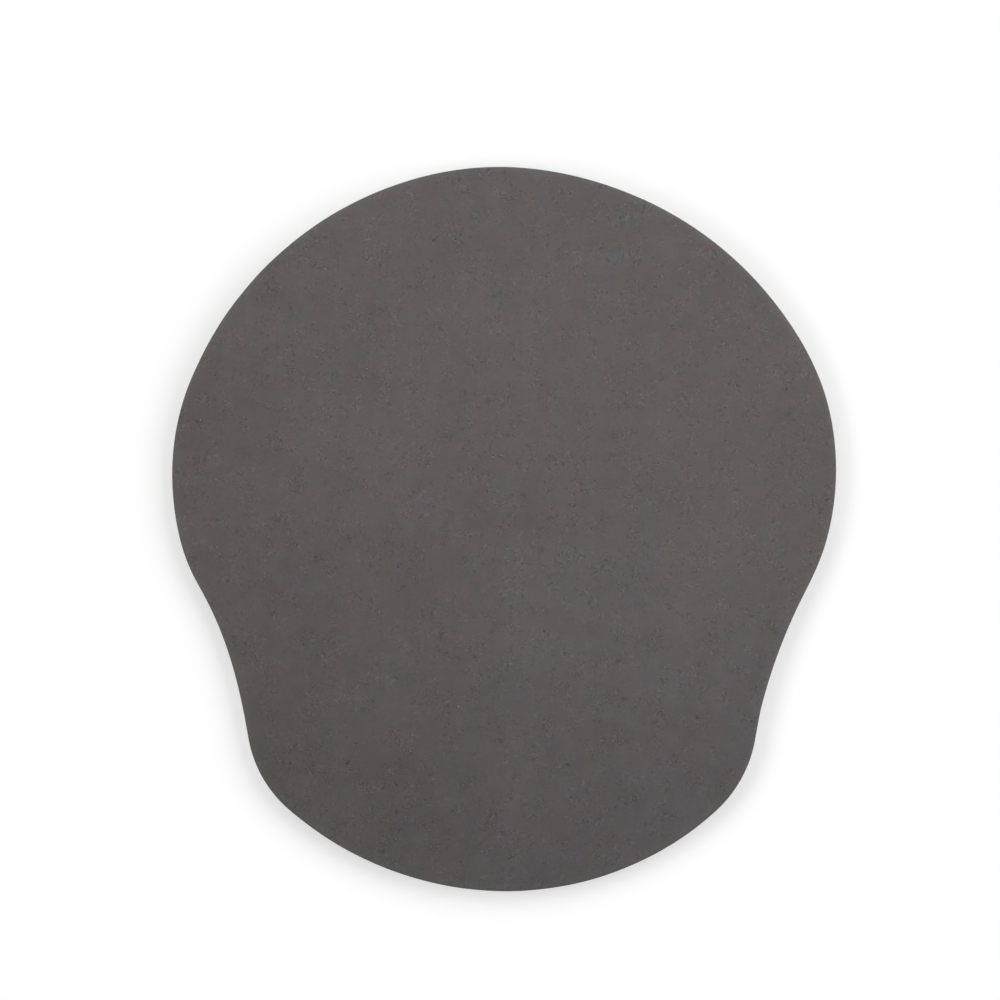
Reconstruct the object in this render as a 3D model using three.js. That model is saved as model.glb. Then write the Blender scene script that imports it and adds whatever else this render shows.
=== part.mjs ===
// Contoured mouse pad: a round head for the mouse and a narrower lobe for the wrist,
// cut in one stroke through a laminate of face sheet, foam core and grip base.
// Millimetres, +Z up, the pad lying on z = 0 with its far edge towards +Y.

import * as THREE from "three";

// Contour, seen from above
const padDepth = 250;
const padWidth = 229.2;
const shoulderRadius = 85;
const farInset = 20;
const lobeWidth = 176.6;
const cornerRadius = 43;
const nearInset = 17.2;
const waistRadius = 162;

// Laminate, from the desk up
const baseThickness = 1;
const baseFilmThickness = 0.125;
const coreThickness = 3.75;
const faceFilmThickness = 0.125;
const faceThickness = 1;

// Cut edge
const faceArrisWidth = 1.6;
const faceArrisDrop = 0.7;
const coreDish = 0.25;
const baseEdgeRadius = 0.3;

// Fineness of the facets
const facetAngle = THREE.MathUtils.degToRad(3);
const arrisSteps = 5;
const dishSteps = 4;
const baseEdgeSteps = 2;

// Circle centred on the mid-line that touches an edge line and encloses a side circle from within.
// All three sizes are measured from that edge line: the side circle's offset from the mid-line,
// its radius, and how far it lies in from the edge line.
function enclosingRadius(offset, radius, inset) {
  const reach = inset + radius;
  return (offset * offset + reach * reach - radius * radius) / (2 * inset);
}

// Centre of the hollow circle that touches both side circles from outside.
function waistCentre(shoulder, corner) {
  const toShoulder = shoulderRadius + waistRadius;
  const toCorner = cornerRadius + waistRadius;
  const across = new THREE.Vector2().subVectors(shoulder, corner);
  const span = across.length();
  const along = (toCorner * toCorner - toShoulder * toShoulder + span * span) / (2 * span);
  const aside = Math.sqrt(toCorner * toCorner - along * along);
  across.normalize();
  const outward = new THREE.Vector2(across.y, -across.x);
  return corner.clone().addScaledVector(across, along).addScaledVector(outward, aside);
}

function bearing(from, to) {
  return Math.atan2(to.y - from.y, to.x - from.x);
}

// The right half as five tangent arcs, from the near edge's middle round to the far edge's middle.
function rightArcs() {
  const farEdge = padDepth / 2;
  const nearEdge = -padDepth / 2;
  const shoulder = new THREE.Vector2(padWidth / 2 - shoulderRadius, farEdge - farInset - shoulderRadius);
  const corner = new THREE.Vector2(lobeWidth / 2 - cornerRadius, nearEdge + nearInset + cornerRadius);
  const crownRadius = enclosingRadius(shoulder.x, shoulderRadius, farInset);
  const heelRadius = enclosingRadius(corner.x, cornerRadius, nearInset);
  const crown = new THREE.Vector2(0, farEdge - crownRadius);
  const heel = new THREE.Vector2(0, nearEdge + heelRadius);
  const waist = waistCentre(shoulder, corner);
  const heelEnd = bearing(heel, corner);
  const shoulderEnd = bearing(crown, shoulder);
  return [
    { centre: heel, radius: heelRadius, from: -Math.PI / 2, to: heelEnd },
    { centre: corner, radius: cornerRadius, from: heelEnd, to: bearing(corner, waist) },
    { centre: waist, radius: -waistRadius, from: bearing(corner, waist), to: bearing(shoulder, waist) },
    { centre: shoulder, radius: shoulderRadius, from: bearing(shoulder, waist), to: shoulderEnd },
    { centre: crown, radius: crownRadius, from: shoulderEnd, to: Math.PI / 2 },
  ];
}

// Points along one arc, drawn in by the inset. A negative radius is the hollow of the waist,
// whose points lie on the far side of its centre, so that every arc keeps its bearings when drawn in.
function arcPoints(arc, inset) {
  const steps = Math.ceil(Math.abs(arc.to - arc.from) / facetAngle);
  return Array.from({ length: steps }, (_, step) => {
    const angle = THREE.MathUtils.lerp(arc.from, arc.to, step / steps);
    const reach = arc.radius - inset;
    return new THREE.Vector2(arc.centre.x + reach * Math.cos(angle), arc.centre.y + reach * Math.sin(angle));
  });
}

// The whole contour, counter-clockwise from the near edge's middle.
function contour(inset) {
  const nearMiddle = new THREE.Vector2(0, -padDepth / 2 + inset);
  const farMiddle = new THREE.Vector2(0, padDepth / 2 - inset);
  const right = rightArcs().flatMap((arc) => arcPoints(arc, inset)).slice(1);
  const left = right.map((point) => new THREE.Vector2(-point.x, point.y)).reverse();
  return [nearMiddle, ...right, farMiddle, ...left];
}

// Closed solid whose wall climbs through a profile of { inset, z } steps.
function layerGeometry(profile) {
  const rings = profile.map(({ inset, z }) => contour(inset).map((point) => [point.x, point.y, z]));
  const count = rings[0].length;
  const ground = contour(profile[0].inset);
  const caps = THREE.ShapeUtils.triangulateShape(ground, []);
  const topRing = (rings.length - 1) * count;
  const index = [];
  for (const [a, b, c] of caps) {
    index.push(a, c, b);
    index.push(topRing + a, topRing + b, topRing + c);
  }
  for (let ring = 0; ring < rings.length - 1; ring += 1) {
    for (let point = 0; point < count; point += 1) {
      const low = ring * count + point;
      const lowNext = ring * count + (point + 1) % count;
      const high = low + count;
      const highNext = lowNext + count;
      index.push(low, lowNext, highNext);
      index.push(low, highNext, high);
    }
  }
  const geometry = new THREE.BufferGeometry();
  geometry.setAttribute("position", new THREE.Float32BufferAttribute(rings.flat(2), 3));
  geometry.setIndex(index);
  geometry.computeVertexNormals();
  return geometry;
}

// Quarter-ellipse steps that lead the wall in to the top of a layer, wider than they are deep,
// because the blade drags the skin down before it parts.
function rolledTop(top, width, drop, steps) {
  return Array.from({ length: steps + 1 }, (_, step) => {
    const angle = (Math.PI / 2) * (step / steps);
    return { inset: width * (1 - Math.cos(angle)), z: top - drop * (1 - Math.sin(angle)) };
  });
}

// Quarter-round steps that lead the wall out from the bottom of a layer.
function roundedBottom(bottom, radius, steps) {
  return Array.from({ length: steps + 1 }, (_, step) => {
    const angle = (Math.PI / 2) * (step / steps);
    return { inset: radius * (1 - Math.sin(angle)), z: bottom + radius * (1 - Math.cos(angle)) };
  });
}

// Wall drawn in along a shallow bow between the two faces, as a blade leaves soft foam.
function dishedWall(bottom, top, dish, steps) {
  return Array.from({ length: steps + 1 }, (_, step) => {
    const height = step / steps;
    return { inset: dish * Math.sin(Math.PI * height), z: step === steps ? top : bottom + (top - bottom) * height };
  });
}

function straightWall(bottom, top) {
  return [{ inset: 0, z: bottom }, { inset: 0, z: top }];
}

function layer(name, profile, color, roughness) {
  const material = new THREE.MeshStandardMaterial({ color, roughness, metalness: 0 });
  const mesh = new THREE.Mesh(layerGeometry(profile), material);
  mesh.name = name;
  return mesh;
}

function gripBase(bottom, top) {
  const wall = [...roundedBottom(bottom, baseEdgeRadius, baseEdgeSteps), { inset: 0, z: top }];
  return layer("grip_base", wall, "#1d1c1c", 0.85);
}

function bondFilm(name, bottom, top) {
  return layer(name, straightWall(bottom, top), "#4a4845", 0.5);
}

function foamCore(bottom, top) {
  return layer("foam_core", dishedWall(bottom, top, coreDish, dishSteps), "#3a3836", 0.95);
}

function faceSheet(bottom, top) {
  const wall = [{ inset: 0, z: bottom }, ...rolledTop(top, faceArrisWidth, faceArrisDrop, arrisSteps)];
  return layer("face_sheet", wall, "#5d5a59", 0.9);
}

// Every layer starts on the very height where the one below it ends.
function mousePad() {
  const desk = 0;
  const baseTop = desk + baseThickness;
  const coreBottom = baseTop + baseFilmThickness;
  const coreTop = coreBottom + coreThickness;
  const faceBottom = coreTop + faceFilmThickness;
  const faceTop = faceBottom + faceThickness;
  const pad = new THREE.Group();
  pad.name = "mouse_pad";
  pad.add(gripBase(desk, baseTop));
  pad.add(bondFilm("base_bond_film", baseTop, coreBottom));
  pad.add(foamCore(coreBottom, coreTop));
  pad.add(bondFilm("face_bond_film", coreTop, faceBottom));
  pad.add(faceSheet(faceBottom, faceTop));
  return pad;
}

export default mousePad();
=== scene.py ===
"""Contoured mouse pad: the finished surfaces of a die-cut laminate of face sheet, foam core and grip base."""

import math
import random

import bpy
import numpy as np
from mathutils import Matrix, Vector, noise


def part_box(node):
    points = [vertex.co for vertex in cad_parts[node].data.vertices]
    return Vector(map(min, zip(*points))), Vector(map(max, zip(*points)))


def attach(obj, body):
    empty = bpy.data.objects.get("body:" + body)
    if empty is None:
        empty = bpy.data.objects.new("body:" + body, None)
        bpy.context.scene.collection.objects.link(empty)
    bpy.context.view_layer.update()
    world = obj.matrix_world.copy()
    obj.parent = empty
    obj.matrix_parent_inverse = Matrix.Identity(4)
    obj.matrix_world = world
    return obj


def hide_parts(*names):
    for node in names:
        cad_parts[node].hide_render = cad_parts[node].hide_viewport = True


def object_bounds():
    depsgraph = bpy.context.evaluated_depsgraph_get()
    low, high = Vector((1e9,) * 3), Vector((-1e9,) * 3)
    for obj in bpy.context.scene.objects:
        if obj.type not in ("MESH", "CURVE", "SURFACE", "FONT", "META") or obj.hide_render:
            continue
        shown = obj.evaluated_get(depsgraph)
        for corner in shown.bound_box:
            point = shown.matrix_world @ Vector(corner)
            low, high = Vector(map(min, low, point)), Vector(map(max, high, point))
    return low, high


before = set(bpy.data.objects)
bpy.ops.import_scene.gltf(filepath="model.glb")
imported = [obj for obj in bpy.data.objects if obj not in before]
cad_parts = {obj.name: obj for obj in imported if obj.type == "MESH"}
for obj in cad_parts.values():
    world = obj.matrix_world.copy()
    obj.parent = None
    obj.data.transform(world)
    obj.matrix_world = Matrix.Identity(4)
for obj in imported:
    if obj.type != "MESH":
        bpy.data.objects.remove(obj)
cad_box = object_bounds()

MM = 0.001

# The photograph's frame, in its own pixels
FRAME_PX = 1000
PAD_DEPTH_PX = 726.8
PAD_MIDDLE_PX = (503.7, 529.8)
LENS_MM = 85
SENSOR_MM = 36

# Fineness of the meshes
GRID_CELLS = 240
CORE_ROWS = 15
ARRIS_ROWS = 8
EDGE_ROWS = 3
SHARP_DEG = 50

# Edge of the face sheet, rolled down by the cut, and the width of the rim along it that a painted highlight
# lightens
ARRIS_WIDTH = 1.6 * MM
ARRIS_DROP = 0.7 * MM
RIM_WIDTH = 3.6 * MM

# Seams between the layers
SEAM_EASE = 0.09 * MM
FILM_INSET = 0.12 * MM

# Cut wall of the foam core
CORE_DISH = 0.25 * MM
WALL_ROUGHNESS = 0.07 * MM
WALL_GRAIN = 0.9 * MM

# Cut against the plain contour: how far it stays inside as a whole, its fine wander, and where
# the blade strays, each by bearing and width in degrees and distance outward
CUT_MARGIN = 0.35 * MM
CUT_WANDER = 0.06 * MM
CUT_WANDER_LENGTH = 12 * MM
CUT_STRAYS = (
    (-175, 8, 0.55 * MM),
    (-143, 13, 0.6 * MM),
    (-108, 21, -0.4 * MM),
    (-40, 13, -0.75 * MM),
    (-11, 24, 0.25 * MM),
    (27, 12, 0.7 * MM),
    (74, 22, -0.6 * MM),
    (92, 16, 0.65 * MM),
    (146, 23, -0.4 * MM),
)

# Swells of the face, each by length and height
FACE_SWELLS = ((42 * MM, 0.05 * MM), (13 * MM, 0.016 * MM), (4.5 * MM, 0.006 * MM))

# Pits and crumbs of the foam's skin, one to a cell of the mesh
BLEMISHES = 1500
BLEMISH_RADII = (0.14 * MM, 0.3 * MM)
PIT_DEPTHS = (0.08 * MM, 0.22 * MM)
CRUMB_HEIGHTS = (0.02 * MM, 0.05 * MM)
CRUMB_SHARE = 0.35
BLEMISH_TAPER = 0.45
BLEMISH_RAGGEDNESS = (0.8, 1.2)
BLEMISH_SEED = 20
BLEMISH_REACH = 0.985

# Grip texture under the base, and the base's eased lower edge
GRIP_PITCH = 3.6 * MM
GRIP_DEPTH = 0.16 * MM
GRIP_MARGIN = 0.96
BASE_EDGE = 0.3 * MM

# How far noise strays from its middle where it counts in full, for patches, tones and grain
PATCH_SPREAD = 0.15
TONE_SPREAD = 0.2
GRAIN_SPREAD = 0.25

# Colours of the layers. The face drifts between three of them.
FACE_WARM = (0.1060, 0.0933, 0.0913)
FACE_COOL = (0.0992, 0.0957, 0.0904)
FACE_BLUE = (0.0990, 0.0949, 0.0986)
CORE_COLOUR = (0.060, 0.0565, 0.054)
FILM_COLOUR = (0.07, 0.066, 0.062)
BASE_COLOUR = (0.018, 0.0175, 0.017)

# Drift of the face's hue to cool and to blue: its direction, where it starts and ends along it,
# and the shares of the second colour there
COOL_DRIFT = Vector((0.4, -0.9, 0))
COOL_DRIFT_REACH = (-32 * MM, 32 * MM)
COOL_DRIFT_SHARES = (0.2, 0.8)
BLUE_DRIFT = Vector((0.5, -0.87, 0))
BLUE_DRIFT_REACH = (55 * MM, 125 * MM)
BLUE_DRIFT_SHARES = (0, 0.7)

# Patches that are cooler or bluer than the drift, or less so: their noise, then each by size and
# strength
PATCH_NOISE = {"detail": 2, "roughness": 0.6}
COOL_PATCHES = ((16 * MM, 0.3), (4.5 * MM, 0.5))
BLUE_PATCHES = ((16 * MM, 0.3), (4 * MM, 0.45))

# Unevenness of the face's brightness, with strengths in shares of it: clouds, mottle, streaks by
# length, width and strength, a painted pool of light that makes the middle lighter than what lies far from
# it, and a painted highlight along the rim
CLOUDS = {"size": 46 * MM, "detail": 3}
CLOUD_STRENGTH = 0.039
MOTTLE = {"size": 6 * MM, "detail": 4, "roughness": 0.6}
MOTTLE_STRENGTH = 0.053
STREAKS = ((44 * MM, 11 * MM, 0.03), (9 * MM, 30 * MM, 0.026))
# Painted pool of light on the face: its centre, the distances over which it fades, and its tones there
MIDDLE = (10 * MM, 15 * MM, 0)
PAINTED_LIGHT_POOL_REACH = (60 * MM, 135 * MM)
PAINTED_LIGHT_POOL_TONES = (0.026, -0.043)
# Painted highlight along the rim, as a share of the colour
RIM_PAINTED_HIGHLIGHT = 0.095

# Grain of the face: the patches' noise where they are calmest and busiest, how strong all grain
# is there, and the fine grain
BUSY_SIZE = 7 * MM
BUSY_NOISE = (0.38, 0.62)
BUSY_LEVELS = (0.32, 1.65)
FINE_GRAIN = {"size": 0.8 * MM, "detail": 2, "roughness": 0.55}
FINE_STRENGTH = 0.068

# Wavering strokes of the face: the noise that they wind through and how often they turn in it,
# and the finer noise that breaks them up, with its value at the ends of the gaps
STROKE_SIZE = 3 * MM
STROKE_TURNS = 36
STROKE_STRENGTH = 0.15
BREAKS = {"size": 1.8 * MM, "detail": 1}
BREAK_NOISE = (0.47, 0.67)

# Specks of the face: the noise that makes them ragged by size and push, then small and large ones
# by spacing, radius, share of the cells that are dark or light, and strength
RAGGED_SIZE = 0.9 * MM
RAGGED_PUSH = 1.4 * MM
SPECKS = (
    (1.1 * MM, 0.34 * MM, 0.24, 0.66),
    (2.4 * MM, 0.54 * MM, 0.25, 0.5),
)

# A speck's full core and its opposite ring, in radii, and how its strength varies
SPECK_CORE = 0.3
RING_REACH = (0.7, 2)
RING_STRENGTH = 0.3
SPECK_RARITY = 3
FAINTEST_SPECK = 0.2
DARK_STRENGTH = 0.84
LIGHT_STRENGTH = 1.4

# Surface of the face: bump by strength and depth, and its grain from dark to light, with the
# roughness there
FACE_BUMP = (0.6, 0.1 * MM)
FACE_GRAIN_REACH = (-0.2, 0.2)
FACE_ROUGHNESS = (0.82, 0.94)
FACE_SPECULAR = 0.12

# Cut wall of the core: opened cells by spacing, radius and share, their full depth in radii, the
# tone between them and the painted shade inside them, the fine grain, and how far the colour varies in
# patches
CORE_CELLS = (0.55 * MM, 0.22 * MM, 0.8)
CORE_CELL_FLOOR = 0.4
CORE_CELL_SHADE_TONES = (0.1, -0.4)
CORE_GRAIN = {"size": 0.5 * MM, "detail": 3}
CORE_GRAIN_STRENGTH = 0.2
CORE_PATCH = 9 * MM
CORE_DARK = 0.9
CORE_LIGHT = 1.1
CORE_BUMP = (0.8, 0.15 * MM)
CORE_ROUGHNESS = (0.85, 0.98)
CORE_SPECULAR = 0.25

# Adhesive films: their grain, and how dark and light it is
FILM_GRAIN = {"size": 1.2 * MM, "detail": 3}
FILM_DARK = 0.7
FILM_LIGHT = 1.3
FILM_ROUGHNESS = (0.4, 0.65)

# Rubber base: its dusty bloom, with the noise where it is weakest and strongest, and its grain
BASE_BLOOM = {"size": 18 * MM, "detail": 4}
BASE_BLOOM_NOISE = (0.35, 0.75)
BASE_BLOOM_STRENGTH = 0.4
BASE_GRAIN = {"size": 0.7 * MM, "detail": 3, "roughness": 0.6}
BASE_GRAIN_STRENGTH = 0.5
BASE_DARK = 0.7
BASE_LIGHT = 1.7
BASE_BUMP = (0.5, 0.08 * MM)
BASE_ROUGHNESS = (0.62, 0.8)
BASE_SPECULAR = 0.3

# Floor: a wide disc, which the camera sees fade to plain white between two distances from the pad, painting
# out the outer part of the pad's shadow
FLOOR_RADIUS = 20
FLOOR_SIDES = 240
FLOOR_FADE = (6 * MM, 17 * MM)

# Grey of the floor near the pad as the camera sees it, its painted glow, which lightens the shadow, and the
# glow's fall per metre, and the grey that lights the pad
FLOOR_SHOWN = 0.627
FLOOR_GLOW = 0.39
FLOOR_GLOW_FALL = Vector((0.12, 0.57, 0))
FLOOR_GREY = 0.8

# Even light from all round, and softboxes: azimuth and elevation in degrees, distance, width and
# height in metres, watts and colour
WORLD_LIGHT = 0.01
SOFTBOXES = {
    "softbox_right": (14, 24, 0.58, 0.66, 0.89, 4.78, (1.0, 1.0, 1.0)),
    "softbox_left": (184, 28, 1.69, 1.52, 1.29, 21.2, (1.0, 0.996, 0.992)),
    "softbox_far": (105, 39, 0.50, 0.60, 0.42, 1.40, (1.0, 0.996, 0.992)),
    "softbox_near": (283, 10, 1.50, 1.51, 0.37, 7.86, (0.98, 0.99, 1.0)),
}


class CuttingLine:
    """The contour of the frame's layers, as a smooth radius round the pad's middle."""

    SAME_LEVEL = 0.04 * MM
    STEP = 0.002

    def __init__(self, node):
        points = np.array([vertex.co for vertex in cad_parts[node].data.vertices])
        lowest = points[points[:, 2] < points[:, 2].min() + self.SAME_LEVEL]
        bearing, first = np.unique(np.arctan2(lowest[:, 1], lowest[:, 0]).round(5), return_index=True)
        radius = np.hypot(lowest[first, 0], lowest[first, 1])
        turn = 2 * math.pi
        self.bearings = np.concatenate([bearing[-2:] - turn, bearing, bearing[:2] + turn])
        self.radii = np.concatenate([radius[-2:], radius, radius[:2]])
        self.slopes = np.gradient(self.radii, self.bearings)

    def radius(self, bearing):
        """Radius at these bearings, by a cubic through the contour's points."""
        k = np.clip(np.searchsorted(self.bearings, bearing, side="right") - 1, 0, len(self.bearings) - 2)
        span = self.bearings[k + 1] - self.bearings[k]
        t = (bearing - self.bearings[k]) / span
        start = (1 + 2 * t) * (1 - t) ** 2 * self.radii[k] + t * (1 - t) ** 2 * span * self.slopes[k]
        end = t * t * (3 - 2 * t) * self.radii[k + 1] - t * t * (1 - t) * span * self.slopes[k + 1]
        return start + end

    def ring(self, bearing, inset):
        """Radius of the line once it is drawn in by the inset, measured square to the line."""
        radius = self.radius(bearing)
        slope = (self.radius(bearing + self.STEP) - self.radius(bearing - self.STEP)) / (2 * self.STEP)
        return radius - inset * np.sqrt(1 + (slope / radius) ** 2)


cutting_line = CuttingLine("base_bond_film")
pad_size = cad_box[1] - cad_box[0]


def field(points, length):
    """Smooth noise from -1 to 1 at each point, with features of that length."""
    return np.array([noise.noise(Vector(point) / length) for point in points])


def polar(bearing, radius, z):
    """Points at these bearings and radii, at a height or at heights."""
    heights = np.broadcast_to(z, np.shape(bearing))
    return np.column_stack([radius * np.cos(bearing), radius * np.sin(bearing), heights])


def cut_radius(bearing, inset):
    """Radius of the cut at these bearings, drawn in by the inset: the contour with the blade's strays."""
    strayed = CUT_WANDER * field(polar(bearing, pad_size.x / 2, 0), CUT_WANDER_LENGTH) - CUT_MARGIN
    for middle, width, distance in CUT_STRAYS:
        away = (np.degrees(bearing) - middle + 180) % 360 - 180
        strayed += distance * np.exp(-((away / width) ** 2))
    return cutting_line.ring(bearing, inset - strayed)


def cut_ring(bearing, inset, z):
    """Points of the cut at one height, drawn in by the inset."""
    return polar(bearing, cut_radius(bearing, inset), z)


def disc_grid(cells):
    """Disc of even quads: bearing and share of the radius of each point, the quads, and the rim in order."""
    steps = np.linspace(-1, 1, cells + 1)
    u, v = np.meshgrid(steps, steps)
    share = np.maximum(abs(u), abs(v))
    divisor = np.where(share > 0, share, 1)
    quarter = math.pi / 4
    sideways = np.where(u >= 0, quarter * v / divisor, 4 * quarter - quarter * v / divisor)
    lengthways = np.where(v >= 0, 2 * quarter - quarter * u / divisor, quarter * u / divisor - 2 * quarter)
    bearing = np.where(abs(u) >= abs(v), sideways, lengthways)
    bearing = (bearing + math.pi) % (2 * math.pi) - math.pi
    index = np.arange(bearing.size).reshape(bearing.shape)
    corners = [index[:-1, :-1], index[:-1, 1:], index[1:, 1:], index[1:, :-1]]
    quads = np.stack(corners, axis=-1).reshape(-1, 4)
    rim = np.concatenate([index[0, :-1], index[:-1, -1], index[-1, :0:-1], index[:0:-1, 0]])
    return bearing.ravel(), share.ravel(), quads, rim


class Shell:
    """Gathers the points and faces of one closed piece."""

    def __init__(self):
        self.points = []
        self.faces = []
        self.count = 0

    def add(self, points):
        """Adds points and returns their numbers."""
        numbers = np.arange(self.count, self.count + len(points))
        self.points.append(np.asarray(points, float))
        self.count += len(points)
        return numbers

    def band(self, low, high):
        """Quads between two rings that run counter-clockwise, the first one below the second."""
        quads = np.column_stack([low, np.roll(low, -1), np.roll(high, -1), high])
        self.faces.extend(quads.tolist())

    def cap(self, ring, z, upward):
        """Closes a ring with triangles to a middle point."""
        middle = self.add([(0, 0, z)])[0]
        after = np.roll(ring, -1)
        start, end = (ring, after) if upward else (after, ring)
        self.faces.extend([int(a), int(b), int(middle)] for a, b in zip(start, end))

    def climb(self, rings):
        """Joins rings of points, the lowest first, and returns the numbers of each ring's points."""
        numbers = [self.add(ring) for ring in rings]
        for low, high in zip(numbers, numbers[1:]):
            self.band(low, high)
        return numbers

    def wall(self, bearing, profile):
        """Climbs along the cut through (inset, height) steps."""
        return self.climb([cut_ring(bearing, inset, z) for inset, z in profile])

    def piece(self, name, material):
        """Puts the gathered mesh in the scene, as an object."""
        mesh = bpy.data.meshes.new(name)
        mesh.from_pydata(np.concatenate(self.points).tolist(), [], self.faces)
        mesh.update()
        mesh.shade_smooth()
        mesh.set_sharp_from_angle(angle=math.radians(SHARP_DEG))
        mesh.materials.append(material)
        made = bpy.data.objects.new(name, mesh)
        bpy.context.scene.collection.objects.link(made)
        return made


def swells(points):
    """Gentle unevenness of the face, so far down that no crumb on it stands above its nominal height."""
    sink = sum(height for _, height in FACE_SWELLS) + CRUMB_HEIGHTS[1]
    flat = points * (1, 1, 0)
    return sum(height * field(flat, length) for length, height in FACE_SWELLS) - sink


def rolled_edge(width, drop, top, rows):
    """(inset, height) steps down a quarter ellipse, from the flat of a face to its wall."""
    turns = [math.pi / 2 * row / rows for row in range(rows + 1)]
    return [(width * (1 - math.sin(turn)), top - drop * (1 - math.cos(turn))) for turn in turns]


def blemish(shell, quad, generator):
    """Replaces one quad of the face by a small pit or crumb, with a border of faces round it."""
    corners = np.array([shell.points[0][corner] for corner in quad])
    middle = corners.mean(axis=0)
    radius = generator.uniform(*BLEMISH_RADII)
    if generator.random() < CRUMB_SHARE:
        rise = generator.uniform(*CRUMB_HEIGHTS)
    else:
        rise = -generator.uniform(*PIT_DEPTHS)
    mouth = []
    floor = []
    for side in range(4):
        across = (corners[side] + corners[(side + 1) % 4]) / 2 - middle
        facing = math.atan2(across[1], across[0])
        for turn in (-math.pi / 8, math.pi / 8):
            reach = radius * generator.uniform(*BLEMISH_RAGGEDNESS)
            out = np.array([math.cos(facing + turn), math.sin(facing + turn), 0]) * reach
            mouth.append(middle + out)
            floor.append(middle + out * BLEMISH_TAPER + (0, 0, rise))
    top = shell.add(mouth).tolist()
    low = shell.add(floor).tolist()
    for side in range(4):
        after = (side + 1) % 4
        near, far, further = top[2 * side], top[2 * side + 1], top[(2 * side + 2) % 8]
        shell.faces.append([int(quad[side]), int(quad[after]), far, near])
        shell.faces.append([far, int(quad[after]), further])
    for k in range(8):
        shell.faces.append([top[k], top[(k + 1) % 8], low[(k + 1) % 8], low[k]])
    shell.faces.append(low)


def build_face_sheet(material):
    """Working face: a finely uneven skin with pinholes and a rolled edge."""
    bottom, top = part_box("face_sheet")[0].z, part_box("face_sheet")[1].z
    bearing, share, quads, rim = disc_grid(GRID_CELLS)
    shell = Shell()
    face = cut_ring(bearing, ARRIS_WIDTH, top)
    face[:, :2] *= share[:, None]
    face[:, 2] += swells(face)
    shell.add(face)
    generator = random.Random(BLEMISH_SEED)
    inside = [k for k, quad in enumerate(quads) if share[quad].max() < BLEMISH_REACH]
    marked = set(generator.sample(inside, BLEMISHES))
    shell.faces.extend(quad.tolist() for k, quad in enumerate(quads) if k not in marked)
    for k in sorted(marked):
        blemish(shell, quads[k], generator)
    edge = rolled_edge(ARRIS_WIDTH, ARRIS_DROP, top, ARRIS_ROWS)[1:]
    profile = [(SEAM_EASE, bottom), (0, bottom + SEAM_EASE), *reversed(edge)]
    walls = [cut_ring(bearing[rim], inset, z) for inset, z in profile]
    for wall, (_, z) in zip(walls, profile):
        wall[:, 2] += swells(wall) * (z - bottom) / (top - bottom)
    rings = shell.climb(walls)
    shell.band(rings[-1], rim)
    shell.cap(rings[0], bottom, upward=False)
    made = shell.piece("pad_face", material)
    mark_rim(made.data)
    return made


def mark_rim(mesh):
    """Stores how near each point lies to the cut, 1 at the cutting line and 0 from the rim's width inward,
    for the painted highlight along the edge.
    """
    points = np.array([vertex.co for vertex in mesh.vertices])
    depth = cut_radius(np.arctan2(points[:, 1], points[:, 0]), 0) - np.hypot(points[:, 0], points[:, 1])
    nearness = np.clip(1 - depth / RIM_WIDTH, 0, 1)
    mesh.attributes.new("rim", "FLOAT", "POINT").data.foreach_set("value", nearness)


def build_foam_core(material):
    """Cushioning body, whose cut wall is drawn in between its faces and rough with opened cells."""
    bottom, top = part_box("foam_core")[0].z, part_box("foam_core")[1].z
    bearing = np.linspace(-math.pi, math.pi, 4 * GRID_CELLS, endpoint=False)
    shell = Shell()
    walls = []
    for row in range(CORE_ROWS + 1):
        climb = row / CORE_ROWS
        bow = math.sin(math.pi * climb)
        wall = cut_ring(bearing, SEAM_EASE + CORE_DISH * bow, bottom + (top - bottom) * climb)
        torn = WALL_ROUGHNESS * field(wall, WALL_GRAIN) * bow
        wall[:, :2] *= 1 + torn[:, None] / np.hypot(wall[:, 0], wall[:, 1])[:, None]
        walls.append(wall)
    rings = shell.climb(walls)
    shell.cap(rings[0], bottom, upward=False)
    shell.cap(rings[-1], top, upward=True)
    return shell.piece("pad_core", material)


def build_bond_film(node, name, material):
    """Adhesive film, a hairline at the wall just behind the layers that it joins."""
    bottom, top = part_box(node)[0].z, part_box(node)[1].z
    bearing = np.linspace(-math.pi, math.pi, 4 * GRID_CELLS, endpoint=False)
    shell = Shell()
    rings = shell.wall(bearing, [(FILM_INSET, bottom), (FILM_INSET, top)])
    shell.cap(rings[0], bottom, upward=False)
    shell.cap(rings[-1], top, upward=True)
    return shell.piece(name, material)


def grip_relief(points, share):
    """Height of the underside above the desk: a shallow moulded grid of studs with a plain border."""
    phase = 2 * math.pi / GRIP_PITCH
    waves = np.cos(phase * points[:, 0]) * np.cos(phase * points[:, 1])
    border = np.clip((GRIP_MARGIN - share) / (1 - GRIP_MARGIN), 0, 1)
    return GRIP_DEPTH * (1 - waves) / 2 * border


def build_grip_base(material):
    """Rubber base: a plain wall with an eased lower edge, and a moulded grip texture underneath."""
    bottom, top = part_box("grip_base")[0].z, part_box("grip_base")[1].z
    bearing, share, quads, rim = disc_grid(GRID_CELLS)
    shell = Shell()
    under = cut_ring(bearing, BASE_EDGE, bottom)
    under[:, :2] *= share[:, None]
    under[:, 2] += grip_relief(under, share)
    shell.add(under)
    shell.faces.extend(quads[:, ::-1].tolist())
    turns = [math.pi / 2 * row / EDGE_ROWS for row in range(1, EDGE_ROWS + 1)]
    edge = [(BASE_EDGE * (1 - math.sin(turn)), bottom + BASE_EDGE * (1 - math.cos(turn))) for turn in turns]
    rings = shell.wall(bearing[rim], [*edge, (0, top - SEAM_EASE), (SEAM_EASE, top)])
    shell.band(rim, rings[0])
    shell.cap(rings[-1], top, upward=True)
    return shell.piece("pad_base", material)


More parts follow.
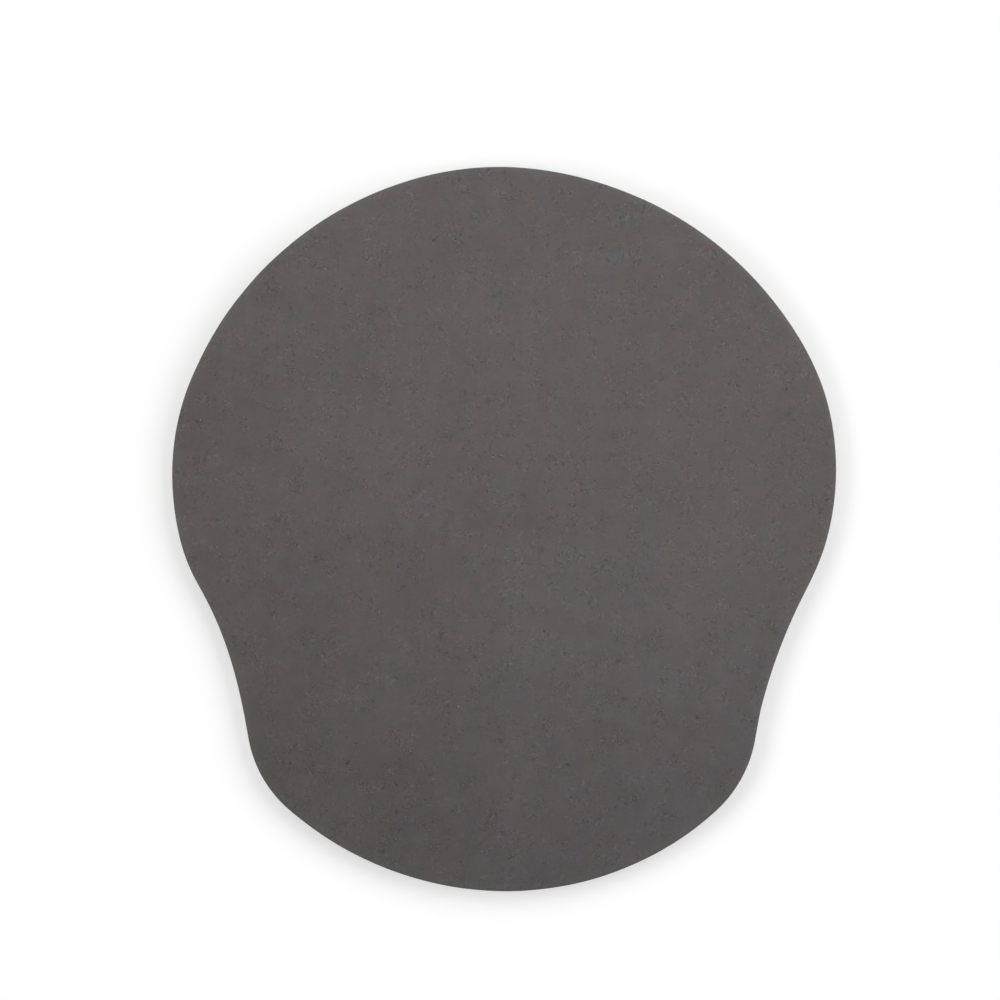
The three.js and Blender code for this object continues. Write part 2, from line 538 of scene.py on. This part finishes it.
def add_node(tree, kind, inputs=None, **settings):
    """Adds a shader node. An input takes a value, or the socket that feeds it."""
    made = tree.nodes.new(kind)
    for name, value in settings.items():
        setattr(made, name, value)
    for socket, value in (inputs or {}).items():
        if isinstance(value, bpy.types.NodeSocket):
            tree.links.new(value, made.inputs[socket])
        else:
            made.inputs[socket].default_value = value
    return made


def new_material(name):
    """A new material, with its node tree and its surface shader."""
    material = bpy.data.materials.new(name)
    material.use_nodes = True
    tree = material.node_tree
    return material, tree, tree.nodes["Principled BSDF"]


def places(tree):
    """Object coordinates, in metres in the part's frame."""
    return add_node(tree, "ShaderNodeTexCoord").outputs["Object"]


def grain(tree, place, size, detail=2.0, roughness=0.5):
    """Noise with features of that size, from 0 to 1."""
    inputs = {"Vector": place, "Scale": 1 / size, "Detail": detail, "Roughness": roughness}
    return add_node(tree, "ShaderNodeTexNoise", inputs).outputs["Fac"]


def remap(tree, value, from_low, from_high, to_low, to_high, smooth=False):
    """The value carried from one range to another, and held at the ends."""
    inputs = {
        "Value": value,
        "From Min": from_low,
        "From Max": from_high,
        "To Min": to_low,
        "To Max": to_high,
    }
    kind = "SMOOTHSTEP" if smooth else "LINEAR"
    return add_node(tree, "ShaderNodeMapRange", inputs, interpolation_type=kind).outputs["Result"]


def around(spread):
    """Values of noise at that spread from its middle."""
    return 0.5 - spread, 0.5 + spread


def swing(tree, value, spread, strength):
    """Noise as a tone from -strength to strength, which it meets at that spread from its middle."""
    return remap(tree, value, *around(spread), -strength, strength)


def math_node(tree, operation, first, second):
    return add_node(tree, "ShaderNodeMath", {0: first, 1: second}, operation=operation).outputs[0]


def vector_node(tree, operation, inputs):
    """Outputs of a vector operation."""
    return add_node(tree, "ShaderNodeVectorMath", inputs, operation=operation).outputs


def total(tree, values):
    """Sum of several sockets."""
    result = values[0]
    for value in values[1:]:
        result = math_node(tree, "ADD", result, value)
    return result


def blend_colours(tree, factor, first, second):
    """Colour between two, by a factor from 0 to 1. The first may be a socket."""
    start = first if isinstance(first, bpy.types.NodeSocket) else (*first, 1)
    inputs = {0: factor, 6: start, 7: (*second, 1)}
    return add_node(tree, "ShaderNodeMix", inputs, data_type="RGBA").outputs[2]


def shade(tree, colour, tone):
    """The colour made lighter or darker by that share of itself."""
    brightness = math_node(tree, "ADD", tone, 1)
    return vector_node(tree, "SCALE", {0: colour, "Scale": brightness})["Vector"]


def warped(tree, place, size, push):
    """Coordinates pushed about by noise, so that round marks lose their regular shape."""
    about = add_node(tree, "ShaderNodeTexNoise", {"Vector": place, "Scale": 1 / size}).outputs["Color"]
    return vector_node(tree, "MULTIPLY_ADD", {0: about, 1: (push,) * 3, 2: place})["Vector"]


def drawn_out(tree, place, lengths):
    """Coordinates measured in these lengths along X, Y and Z."""
    inverse = tuple(1 / length for length in lengths)
    return vector_node(tree, "MULTIPLY", {0: place, 1: inverse})["Vector"]


def along(tree, place, direction):
    """How far each place lies in a direction."""
    return vector_node(tree, "DOT_PRODUCT", {0: place, 1: direction})["Value"]


def bump(tree, surface, height, strength, depth):
    """Lets the height show as relief."""
    made = add_node(tree, "ShaderNodeBump", {"Height": height, "Strength": strength, "Distance": depth})
    tree.links.new(made.outputs["Normal"], surface.inputs["Normal"])


def tint(colour, amount):
    return tuple(channel * amount for channel in colour)


def patches(tree, place, kinds):
    """Patches of each kind, given by size and strength."""
    noises = [(grain(tree, place, size, **PATCH_NOISE), strength) for size, strength in kinds]
    return [swing(tree, value, PATCH_SPREAD, strength) for value, strength in noises]


def face_hue(tree, place):
    """Drifts in patches from warm at the far left to cool, and to blue at the near right."""
    cool_drift = along(tree, place, COOL_DRIFT)
    cool = remap(tree, cool_drift, *COOL_DRIFT_REACH, *COOL_DRIFT_SHARES, smooth=True)
    cool = total(tree, [cool, *patches(tree, place, COOL_PATCHES)])
    blue_drift = along(tree, place, BLUE_DRIFT)
    blue = remap(tree, blue_drift, *BLUE_DRIFT_REACH, *BLUE_DRIFT_SHARES, smooth=True)
    blue = total(tree, [blue, *patches(tree, place, BLUE_PATCHES)])
    return blend_colours(tree, blue, blend_colours(tree, cool, FACE_WARM, FACE_COOL), FACE_BLUE)


def face_tone(tree, place):
    """Soft unevenness of the skin: clouds, mottle, a painted pool of light that lightens the middle and
    darkens what lies far from it, and streaks along and across.
    """
    clouds = swing(tree, grain(tree, place, **CLOUDS), TONE_SPREAD, CLOUD_STRENGTH)
    mottle = swing(tree, grain(tree, place, **MOTTLE), TONE_SPREAD, MOTTLE_STRENGTH)
    # Painted light: the face is lighter near its middle and darker far from it, standing for the lamps'
    # fall-off.
    reach = vector_node(tree, "DISTANCE", {0: place, 1: MIDDLE})["Value"]
    middle = remap(tree, reach, *PAINTED_LIGHT_POOL_REACH, *PAINTED_LIGHT_POOL_TONES, smooth=True)
    streaks = []
    for length, width, strength in STREAKS:
        streak = grain(tree, drawn_out(tree, place, (length, width, length)), 1)
        streaks.append(swing(tree, streak, TONE_SPREAD, strength))
    return total(tree, [clouds, mottle, middle, *streaks])


def wriggles(tree, place):
    """Wavering dark and light strokes side by side, from -1 to 1, which a finer noise breaks up."""
    phase = math_node(tree, "MULTIPLY", grain(tree, place, STROKE_SIZE), STROKE_TURNS)
    wave = add_node(tree, "ShaderNodeMath", {0: phase}, operation="SINE").outputs[0]
    broken = remap(tree, grain(tree, place, **BREAKS), *BREAK_NOISE, 0, 1, smooth=True)
    return math_node(tree, "MULTIPLY", wave, broken)


def scattered(tree, place, spacing):
    """Cells round scattered points: the distance to the point, and the cell's random numbers."""
    cells = add_node(tree, "ShaderNodeTexVoronoi", {"Vector": place, "Scale": 1 / spacing})
    draws = add_node(tree, "ShaderNodeSeparateColor", {"Color": cells.outputs["Color"]}).outputs
    return cells.outputs["Distance"], draws


def specks(tree, place, spacing, radius, share):
    """Scattered dark and light specks, each with a weak opposite ring, from about -1 to 1."""
    distance, draws = scattered(tree, place, spacing)
    size = radius / spacing
    ring_start, ring_end = RING_REACH
    core = remap(tree, distance, SPECK_CORE * size, size, 1, 0, smooth=True)
    ring = remap(tree, distance, ring_start * size, ring_end * size, RING_STRENGTH, 0, smooth=True)
    spot = math_node(tree, "SUBTRACT", core, ring)
    dark = math_node(tree, "LESS_THAN", draws[0], share)
    light = math_node(tree, "GREATER_THAN", draws[0], 1 - share)
    sign = math_node(tree, "SUBTRACT", light, dark)
    own = remap(tree, math_node(tree, "POWER", draws[1], SPECK_RARITY), 0, 1, FAINTEST_SPECK, 1)
    strength = math_node(tree, "MULTIPLY", own, remap(tree, sign, -1, 1, DARK_STRENGTH, LIGHT_STRENGTH))
    return math_node(tree, "MULTIPLY", math_node(tree, "MULTIPLY", spot, sign), strength)


def face_texture(tree, place):
    """Fine grain, wavering strokes, dark specks that paint the shade of pores and light flecks, busier in
    patches.
    """
    busy = remap(tree, grain(tree, place, BUSY_SIZE), *BUSY_NOISE, *BUSY_LEVELS, smooth=True)
    fine = swing(tree, grain(tree, place, **FINE_GRAIN), GRAIN_SPREAD, FINE_STRENGTH)
    strokes = math_node(tree, "MULTIPLY", wriggles(tree, place), STROKE_STRENGTH)
    marks = [fine, strokes]
    ragged = warped(tree, place, RAGGED_SIZE, RAGGED_PUSH)
    # The dark specks are painted shade of pores; the light ones are flecks in the skin.
    for spacing, radius, share, strength in SPECKS:
        marks.append(math_node(tree, "MULTIPLY", specks(tree, ragged, spacing, radius, share), strength))
    return math_node(tree, "MULTIPLY", total(tree, marks), busy)


def face_material():
    """Fine foam skin: cloudy dark grey that drifts in hue, with grain, flecks, painted shade in its pores, a
    painted pool of light in its middle and a painted highlight along its rim.
    """
    material, tree, surface = new_material("face_foam")
    place = places(tree)
    texture = face_texture(tree, place)
    # Painted highlight: the colour lightens towards the cut, where the rolled edge would catch the side
    # light.
    rim = add_node(tree, "ShaderNodeAttribute", attribute_name="rim").outputs["Fac"]
    painted_rim_highlight = remap(tree, rim, 0, 1, 0, RIM_PAINTED_HIGHLIGHT, smooth=True)
    colour = shade(tree, face_hue(tree, place), total(tree, [face_tone(tree, place), texture, painted_rim_highlight]))
    tree.links.new(colour, surface.inputs["Base Color"])
    bump(tree, surface, texture, *FACE_BUMP)
    roughness = remap(tree, texture, *FACE_GRAIN_REACH, *FACE_ROUGHNESS)
    tree.links.new(roughness, surface.inputs["Roughness"])
    surface.inputs["Specular IOR Level"].default_value = FACE_SPECULAR
    return material


def pores(tree, place, spacing, radius, share):
    """Round pores: 1 inside a pore, 0 outside. Only that share of the cells holds one."""
    distance, draws = scattered(tree, place, spacing)
    size = radius / spacing
    inside = remap(tree, distance, CORE_CELL_FLOOR * size, size, 1, 0, smooth=True)
    return math_node(tree, "MULTIPLY", inside, math_node(tree, "LESS_THAN", draws[0], share))


def core_material():
    """Opened foam cells on the cut wall."""
    material, tree, surface = new_material("core_foam")
    place = places(tree)
    cells = pores(tree, place, *CORE_CELLS)
    fine = swing(tree, grain(tree, place, **CORE_GRAIN), GRAIN_SPREAD, CORE_GRAIN_STRENGTH)
    patch = grain(tree, place, CORE_PATCH)
    hue = blend_colours(tree, patch, tint(CORE_COLOUR, CORE_DARK), tint(CORE_COLOUR, CORE_LIGHT))
    # Painted shade: the colour darkens inside the opened cells.
    colour = shade(tree, hue, total(tree, [fine, remap(tree, cells, 0, 1, *CORE_CELL_SHADE_TONES)]))
    tree.links.new(colour, surface.inputs["Base Color"])
    bump(tree, surface, total(tree, [fine, remap(tree, cells, 0, 1, 0, -1)]), *CORE_BUMP)
    roughness = remap(tree, fine, -CORE_GRAIN_STRENGTH, CORE_GRAIN_STRENGTH, *CORE_ROUGHNESS)
    tree.links.new(roughness, surface.inputs["Roughness"])
    surface.inputs["Specular IOR Level"].default_value = CORE_SPECULAR
    return material


def film_material():
    """Dried adhesive, a little glossier than the foam."""
    material, tree, surface = new_material("bond_film")
    fine = grain(tree, places(tree), **FILM_GRAIN)
    colour = blend_colours(tree, fine, tint(FILM_COLOUR, FILM_DARK), tint(FILM_COLOUR, FILM_LIGHT))
    tree.links.new(colour, surface.inputs["Base Color"])
    roughness = remap(tree, fine, *around(TONE_SPREAD), *FILM_ROUGHNESS)
    tree.links.new(roughness, surface.inputs["Roughness"])
    return material


def base_material():
    """Near-black rubber with a dusty bloom."""
    material, tree, surface = new_material("base_rubber")
    place = places(tree)
    bloom = remap(tree, grain(tree, place, **BASE_BLOOM), *BASE_BLOOM_NOISE, 0, BASE_BLOOM_STRENGTH)
    fine = grain(tree, place, **BASE_GRAIN)
    fine = remap(tree, fine, *around(GRAIN_SPREAD), 0, BASE_GRAIN_STRENGTH)
    pale = total(tree, [bloom, fine])
    colour = blend_colours(tree, pale, tint(BASE_COLOUR, BASE_DARK), tint(BASE_COLOUR, BASE_LIGHT))
    tree.links.new(colour, surface.inputs["Base Color"])
    bump(tree, surface, fine, *BASE_BUMP)
    roughness = remap(tree, fine, 0, BASE_GRAIN_STRENGTH, *BASE_ROUGHNESS)
    tree.links.new(roughness, surface.inputs["Roughness"])
    surface.inputs["Specular IOR Level"].default_value = BASE_SPECULAR
    return material


def dress_pad():
    """Builds the pieces over the frame's nodes and hands each its finish."""
    film = film_material()
    dressed = (
        (build_face_sheet(face_material()), "face_sheet", "face_foam"),
        (build_bond_film("face_bond_film", "pad_face_bond", film), "face_bond_film", "bond_film"),
        (build_foam_core(core_material()), "foam_core", "core_foam"),
        (build_bond_film("base_bond_film", "pad_base_bond", film), "base_bond_film", "bond_film"),
        (build_grip_base(base_material()), "grip_base", "base_rubber"),
    )
    for piece, node, slot in dressed:
        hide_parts(node)
        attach(piece, "root")


def floor_mesh():
    """Disc whose "away" attribute is 0 up to a line along the pad's contour, and 1 from a second line on."""
    bearing = np.linspace(-math.pi, math.pi, FLOOR_SIDES, endpoint=False)
    near, far = (cut_ring(bearing, -reach, 0) for reach in FLOOR_FADE)
    rings = [near, far, polar(bearing, FLOOR_RADIUS, 0)]
    middle = len(rings) * FLOOR_SIDES
    faces = []
    for side in range(FLOOR_SIDES):
        after = (side + 1) % FLOOR_SIDES
        faces.append((middle, side, after))
        for inner in (0, FLOOR_SIDES):
            outer = inner + FLOOR_SIDES
            faces.append((inner + side, outer + side, outer + after, inner + after))
    mesh = bpy.data.meshes.new("floor")
    mesh.from_pydata(np.concatenate([*rings, [(0, 0, 0)]]).tolist(), [], faces)
    away = np.concatenate([np.repeat([0.0, 1.0, 1.0], FLOOR_SIDES), [0.0]])
    mesh.attributes.new("away", "FLOAT", "POINT").data.foreach_set("value", away)
    return mesh


def matt(tree, grey):
    """Plain grey surface that the light falls on."""
    return add_node(tree, "ShaderNodeBsdfDiffuse", {"Color": (grey, grey, grey, 1)}).outputs[0]


def shining(tree, strength):
    """White surface that shines by itself."""
    return add_node(tree, "ShaderNodeEmission", {"Color": (1, 1, 1, 1), "Strength": strength}).outputs[0]


def mixed(tree, factor, first, second):
    """Surface between two, by a factor from 0 to 1."""
    return add_node(tree, "ShaderNodeMixShader", {0: factor, 1: first, 2: second}).outputs[0]


def seen_directly(tree):
    """1 for camera, glossy and transmission rays, 0 for those that light other surfaces."""
    path = add_node(tree, "ShaderNodeLightPath").outputs
    seen = math_node(tree, "MAXIMUM", path["Is Camera Ray"], path["Is Glossy Ray"])
    return math_node(tree, "MAXIMUM", seen, path["Is Transmission Ray"])


def floor_material():
    """Glowing grey near the pad and plain white farther off, but grey to the light on the pad."""
    material = bpy.data.materials.new("floor_white")
    material.use_nodes = True
    tree = material.node_tree
    tree.nodes.clear()
    # Painted light: a camera-only glow, stronger towards the near side and the left, lightens the floor and
    # the pad's shadow on it.
    glow = math_node(tree, "SUBTRACT", FLOOR_GLOW, along(tree, places(tree), FLOOR_GLOW_FALL))
    lit = {0: matt(tree, FLOOR_SHOWN), 1: shining(tree, glow)}
    near = add_node(tree, "ShaderNodeAddShader", lit).outputs[0]
    away = add_node(tree, "ShaderNodeAttribute", attribute_name="away").outputs["Fac"]
    shown = mixed(tree, remap(tree, away, 0, 1, 0, 1, smooth=True), near, shining(tree, 1))
    surface = mixed(tree, seen_directly(tree), matt(tree, FLOOR_GREY), shown)
    add_node(tree, "ShaderNodeOutputMaterial", {"Surface": surface}).is_active_output = True
    return material


def make_floor():
    """Pale floor that keeps the pad's shadow, lightened by a painted glow and faded out to white farther off.
    """
    mesh = floor_mesh()
    mesh.materials.append(floor_material())
    floor = bpy.data.objects.new("floor", mesh)
    bpy.context.scene.collection.objects.link(floor)


def make_world():
    """White to the camera, weak even light to the pad."""
    world = bpy.data.worlds.new("studio")
    bpy.context.scene.world = world
    world.use_nodes = True
    tree = world.node_tree
    tree.nodes.clear()
    light, white = (
        add_node(tree, "ShaderNodeBackground", {"Color": (1, 1, 1, 1), "Strength": strength}).outputs[0]
        for strength in (WORLD_LIGHT, 1)
    )
    add_node(tree, "ShaderNodeOutputWorld", {"Surface": mixed(tree, seen_directly(tree), light, white)})


def make_softboxes():
    """Rectangular lamps that face the pad."""
    for name, (azimuth, elevation, distance, width, height, watts, colour) in SOFTBOXES.items():
        lamp = bpy.data.lights.new(name, "AREA")
        lamp.shape = "RECTANGLE"
        lamp.size = width
        lamp.size_y = height
        lamp.energy = watts
        lamp.color = colour
        made = bpy.data.objects.new(name, lamp)
        turn, climb = math.radians(azimuth), math.radians(elevation)
        away = Vector((math.cos(climb) * math.cos(turn), math.cos(climb) * math.sin(turn), math.sin(climb)))
        made.location = away * distance
        made.rotation_euler = (-away).to_track_quat("-Z", "Y").to_euler()
        bpy.context.scene.collection.objects.link(made)


def make_camera():
    """Straight down on the pad, framed as in the photograph."""
    metres_per_px = pad_size.y / PAD_DEPTH_PX
    distance = FRAME_PX * metres_per_px * LENS_MM / SENSOR_MM
    aside = (FRAME_PX / 2 - PAD_MIDDLE_PX[0]) * metres_per_px
    ahead = (PAD_MIDDLE_PX[1] - FRAME_PX / 2) * metres_per_px
    camera = bpy.data.cameras.new("camera")
    camera.lens = LENS_MM
    camera.sensor_width = SENSOR_MM
    made = bpy.data.objects.new("camera", camera)
    made.location = (aside, ahead, cad_box[1].z + distance)
    bpy.context.scene.collection.objects.link(made)
    bpy.context.scene.camera = made


dress_pad()
make_floor()
make_world()
make_softboxes()
make_camera()
bpy.context.scene.view_settings.view_transform = "Standard"
